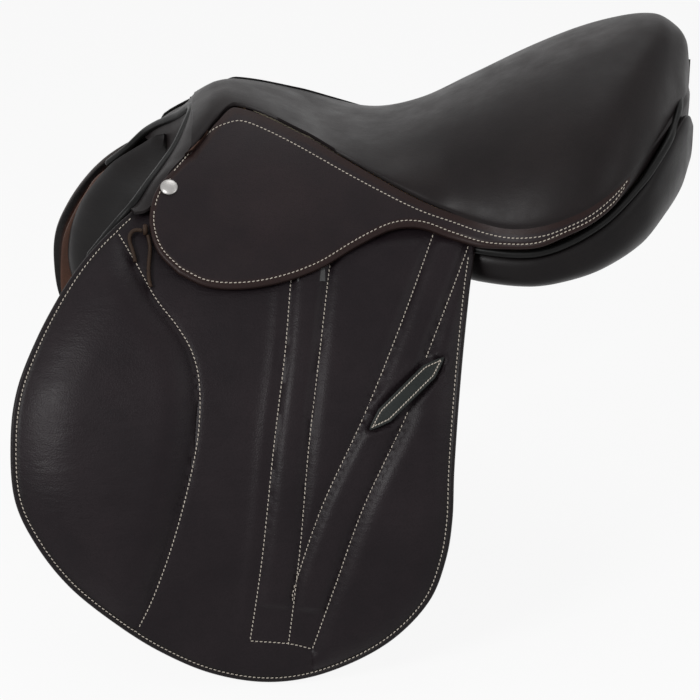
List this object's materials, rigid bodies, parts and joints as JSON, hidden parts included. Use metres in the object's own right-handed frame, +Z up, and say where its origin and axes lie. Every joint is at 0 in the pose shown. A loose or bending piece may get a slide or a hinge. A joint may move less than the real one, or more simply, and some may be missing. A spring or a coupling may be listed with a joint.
{
  "type": "english jumping saddle",
  "caption": "Close contact riding saddle with padded seat, lifting flaps, skirts that uncover the stirrup bars, and girth billets under each flap.",
  "frame": {"origin": "on the centre line, midway along the seat, at the height where the panels bear on the horse's back", "axes": "-X towards the horse's head, +Z up, -Y towards the near (left) side"},
  "size_m": [0.5397, 0.4874, 0.4552],
  "materials": {
    "leather_black": "soft grain, matte",
    "leather_brown": "smooth, satin",
    "leather_panel": "smooth, satin",
    "leather_strap": "satin",
    "piping": "smooth, satin",
    "wood": "laminated",
    "steel": "brushed",
    "web": "woven",
    "foam": "foam",
    "tab": "bare, matte",
    "keeper_web": "worn, matte"
  },
  "bodies": {
    "root": {"tree_cantle": "wood", "tree_head": "wood", "tree_rail_left": "wood", "tree_rail_right": "wood", "head_plate": "steel", "gullet_plate": "steel", "tree_spring_left": "steel", "tree_spring_right": "steel", "seat_web": "web", "cross_web": "web", "seat_foam": "foam", "seat_cover": "leather_black", "seat_welt_left": "piping", "seat_welt_right": "piping", "arch_roll": "piping", "skirt_left": "leather_brown", "skirt_right": "leather_brown", "saddle_nail_left": "steel", "saddle_nail_right": "steel", "flap_head_left": "leather_black", "flap_head_right": "leather_black", "stirrup_bar_left": "steel", "stirrup_bar_right": "steel", "bar_rivets_left": "steel", "bar_rivets_right": "steel", "billet_webs_left": "web", "billet_webs_right": "web", "panel_left": "leather_panel", "panel_right": "leather_panel", "front_pad_left": "leather_panel", "front_pad_right": "leather_panel", "panel_roll_left": "piping", "panel_roll_right": "piping", "sweat_flap_left": "leather_brown", "sweat_flap_right": "leather_brown", "catch_pin_left": "steel", "catch_pin_right": "steel"},
    "flap_left": {"flap_left": "leather_black", "knee_pad_left": "leather_black", "thigh_pad_left": "leather_black", "channel_pads_left": "leather_black", "keeper_left": "keeper_web", "lace_knot_left": "leather_black", "lace_tails_left": "leather_black", "size_tab_left": "tab"},
    "skirt_lobe_left": {"skirt_lobe_left": "leather_brown"},
    "billet_front_left": {"billet_front_left": "leather_strap"},
    "billet_rear_left": {"billet_rear_left": "leather_strap"},
    "bar_catch_left": {"bar_catch_left": "steel"},
    "flap_right": {"flap_right": "leather_black", "knee_pad_right": "leather_black", "thigh_pad_right": "leather_black", "channel_pads_right": "leather_black", "keeper_right": "keeper_web", "lace_knot_right": "leather_black", "lace_tails_right": "leather_black"},
    "skirt_lobe_right": {"skirt_lobe_right": "leather_brown"},
    "billet_front_right": {"billet_front_right": "leather_strap"},
    "billet_rear_right": {"billet_rear_right": "leather_strap"},
    "bar_catch_right": {"bar_catch_right": "steel"}
  },
  "joints": [
    {"name": "flap_lift_left", "type": "hinge", "parent": "root", "child": "flap_left", "pos_m": [0, -0.11078, 0.07], "axis": [-1, 0, 0], "range_deg": [0, 60]},
    {"name": "skirt_lift_left", "type": "hinge", "parent": "flap_left", "child": "skirt_lobe_left", "pos_m": [0, -0.11078, 0.07], "axis": [-1, 0, 0], "range_deg": [0, 60]},
    {"name": "billet_front_swing_left", "type": "hinge", "parent": "root", "child": "billet_front_left", "pos_m": [-0.063, -0.10316, 0.0515], "axis": [0, 0.7101, -0.7041], "range_deg": [0, 3]},
    {"name": "billet_rear_swing_left", "type": "hinge", "parent": "root", "child": "billet_rear_left", "pos_m": [0.046, -0.11425, 0.0399], "axis": [0, -0.7353, 0.6778], "range_deg": [0, 1.5]},
    {"name": "bar_catch_flip_left", "type": "hinge", "parent": "root", "child": "bar_catch_left", "pos_m": [-0.0735, -0.12045, 0.04947], "axis": [0, -0.731, 0.6824], "range_deg": [0, 90]},
    {"name": "flap_lift_right", "type": "hinge", "parent": "root", "child": "flap_right", "pos_m": [0, 0.11078, 0.07], "axis": [1, 0, 0], "range_deg": [0, 60]},
    {"name": "skirt_lift_right", "type": "hinge", "parent": "flap_right", "child": "skirt_lobe_right", "pos_m": [0, 0.11078, 0.07], "axis": [1, 0, 0], "range_deg": [0, 60]},
    {"name": "billet_front_swing_right", "type": "hinge", "parent": "root", "child": "billet_front_right", "pos_m": [-0.063, 0.10316, 0.0515], "axis": [0, 0.7101, 0.7041], "range_deg": [0, 3]},
    {"name": "billet_rear_swing_right", "type": "hinge", "parent": "root", "child": "billet_rear_right", "pos_m": [0.046, 0.11425, 0.0399], "axis": [0, -0.7353, -0.6778], "range_deg": [0, 1.5]},
    {"name": "bar_catch_flip_right", "type": "hinge", "parent": "root", "child": "bar_catch_right", "pos_m": [-0.0735, 0.12045, 0.04947], "axis": [0, -0.731, -0.6824], "range_deg": [0, 90]}
  ]
}
